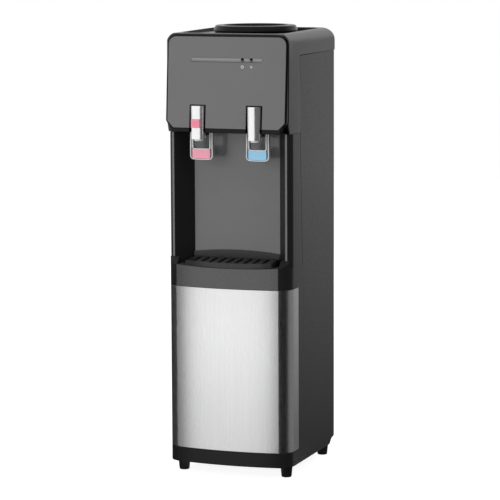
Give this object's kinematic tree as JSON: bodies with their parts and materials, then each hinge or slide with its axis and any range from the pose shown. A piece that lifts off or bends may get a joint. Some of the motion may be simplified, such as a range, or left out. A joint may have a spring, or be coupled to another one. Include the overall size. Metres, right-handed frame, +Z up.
{
  "type": "top load water cooler",
  "caption": "Slim floor-standing water cooler with hot and cold paddle taps over a cup bay with a lift-out drip tray, and an open bottle collar on top.",
  "frame": {"origin": "on the floor, under the centre of the overall box", "axes": "+X to the right seen from the front, the front faces -Y, +Z up"},
  "size_m": [0.28, 0.322, 0.963],
  "materials": {
    "moulded_black": "satin black ABS moulding",
    "stainless_skin": "stainless sheet, fine upright grain",
    "fascia_grey": "satin dark grey moulding",
    "tray_charcoal": "fine textured charcoal moulding",
    "bay_grey": "satin mid grey moulding",
    "trim_grey": "satin grey trim",
    "side_paint": "dark grey powder coat",
    "rear_paint": "black powder coat",
    "foot_rubber": "black rubber",
    "cover_grey": "satin dark grey moulding",
    "bezel_gloss": "gloss black moulding",
    "panel_grey": "semi-gloss metallic grey",
    "strip_grey": "smoked strip",
    "lamp_lens": "unlit lamp lens",
    "board_green": "coated circuit board",
    "galvanised": "galvanised sheet",
    "collar_black": "semi-gloss black moulding",
    "food_white": "food-grade white moulding",
    "tap_black": "satin black nylon",
    "sleeve_chrome": "satin chrome",
    "nylon_white": "natural nylon",
    "spring_steel": "bright spring wire",
    "lever_silver": "frosted clear moulding",
    "plate_pink": "pink insert",
    "plate_blue": "pale blue insert",
    "button_pink": "rose moulding",
    "tank_steel": "deep-drawn stainless",
    "foam_white": "expanded foam",
    "jacket_cream": "glass-fibre jacket",
    "copper": "drawn copper tube",
    "heater_mica": "mica and steel band",
    "black_enamel": "black enamel",
    "hose_silicone": "translucent silicone",
    "switch_red": "red rocker",
    "switch_green": "green rocker"
  },
  "bodies": {
    "root": {"front_frame": "moulded_black", "steel_panel": "stainless_skin", "tray_housing": "fascia_grey", "bay_back": "bay_grey", "column_trims": "trim_grey", "side_panel_left": "side_paint", "side_panel_right": "side_paint", "rear_panel": "rear_paint", "rear_grille": "rear_paint", "base_pan": "moulded_black", "feet": "foot_rubber", "top_cover": "cover_grey", "head_bezel": "bezel_gloss", "head_panel": "panel_grey", "indicator_strip": "strip_grey", "indicator_lamps": "lamp_lens", "control_board": "board_green", "tap_plate": "galvanised", "head_chin": "moulded_black", "hot_tap_body": "tap_black", "cold_tap_body": "tap_black", "hot_tap_sleeve": "sleeve_chrome", "cold_tap_sleeve": "sleeve_chrome", "hot_spout": "food_white", "cold_spout": "food_white", "hot_valve_spring": "spring_steel", "cold_valve_spring": "spring_steel", "tap_nuts": "nylon_white", "cold_tank": "tank_steel", "cold_tank_foam": "foam_white", "evaporator_coil": "copper", "reservoir_lid": "food_white", "hot_tank": "tank_steel", "hot_tank_jacket": "jacket_cream", "heater_band": "heater_mica", "tank_shelves": "galvanised", "compressor": "black_enamel", "compressor_grommets": "foot_rubber", "condenser": "black_enamel", "refrigerant_lines": "copper", "water_hoses": "hose_silicone", "drain_spout": "food_white", "switch_plate": "tap_black", "cord_gland": "foot_rubber", "rear_screws": "spring_steel"},
    "hot_lever": {"hot_lever": "lever_silver", "hot_lever_plate": "plate_pink"},
    "cold_lever": {"cold_lever": "lever_silver", "cold_lever_plate": "plate_blue"},
    "hot_plunger": {"hot_plunger": "nylon_white"},
    "cold_plunger": {"cold_plunger": "nylon_white"},
    "child_lock": {"child_lock_button": "button_pink"},
    "tray": {"drip_tray": "tray_charcoal"},
    "grate": {"drip_grate": "tray_charcoal"},
    "collar": {"bottle_collar": "collar_black", "water_guard": "food_white", "feed_probe": "food_white"},
    "drain_cap": {"drain_cap": "food_white"},
    "hot_switch": {"hot_switch": "switch_red"},
    "cold_switch": {"cold_switch": "switch_green"}
  },
  "joints": [
    {"name": "hot_lever_swing", "type": "hinge", "parent": "root", "child": "hot_lever", "pos_m": [-0.0637, -0.121, 0.76], "axis": [1, 0, 0], "range_deg": [0, 11], "stiffness_Nm_per_rad": 0.5, "springref_deg": -5.73},
    {"name": "hot_valve_lift", "type": "slide", "parent": "root", "child": "hot_plunger", "axis": [0, 0, -1], "range_m": [0, 0.005], "stiffness_N_per_m": 300, "springref_m": -0.003, "deforming": ["hot_valve_spring"]},
    {"name": "cold_lever_swing", "type": "hinge", "parent": "root", "child": "cold_lever", "pos_m": [0.0637, -0.121, 0.76], "axis": [1, 0, 0], "range_deg": [0, 11], "stiffness_Nm_per_rad": 0.5, "springref_deg": -5.73},
    {"name": "cold_valve_lift", "type": "slide", "parent": "root", "child": "cold_plunger", "axis": [0, 0, -1], "range_m": [0, 0.005], "stiffness_N_per_m": 300, "springref_m": -0.003, "deforming": ["cold_valve_spring"]},
    {"name": "child_lock_push", "type": "slide", "parent": "root", "child": "child_lock", "axis": [0, 1, 0], "range_m": [0, 0.0025], "stiffness_N_per_m": 600, "springref_m": -0.002},
    {"name": "tray_lift", "type": "slide", "parent": "root", "child": "tray", "axis": [0, 0, 1], "range_m": [0, 0.06]},
    {"name": "grate_lift", "type": "slide", "parent": "tray", "child": "grate", "axis": [0, 0, 1], "range_m": [0, 0.05]},
    {"name": "collar_lift", "type": "slide", "parent": "root", "child": "collar", "axis": [0, 0, 1], "range_m": [0, 0.12]},
    {"name": "drain_cap_turn", "type": "hinge", "parent": "root", "child": "drain_cap", "pos_m": [-0.078, 0.14, 0.2993], "axis": [0, 1, 0], "range_deg": [0, 720]},
    {"name": "hot_switch_rock", "type": "hinge", "parent": "root", "child": "hot_switch", "pos_m": [0.078, 0.1303, 0.859], "axis": [1, 0, 0], "range_deg": [0, 16]},
    {"name": "cold_switch_rock", "type": "hinge", "parent": "root", "child": "cold_switch", "pos_m": [0.102, 0.1303, 0.859], "axis": [1, 0, 0], "range_deg": [0, 16]}
  ],
  "couplings": [
    {"joint": "hot_valve_lift", "follows": "hot_lever_swing", "m_per_rad": 0.0256},
    {"joint": "cold_valve_lift", "follows": "cold_lever_swing", "m_per_rad": 0.0256}
  ]
}
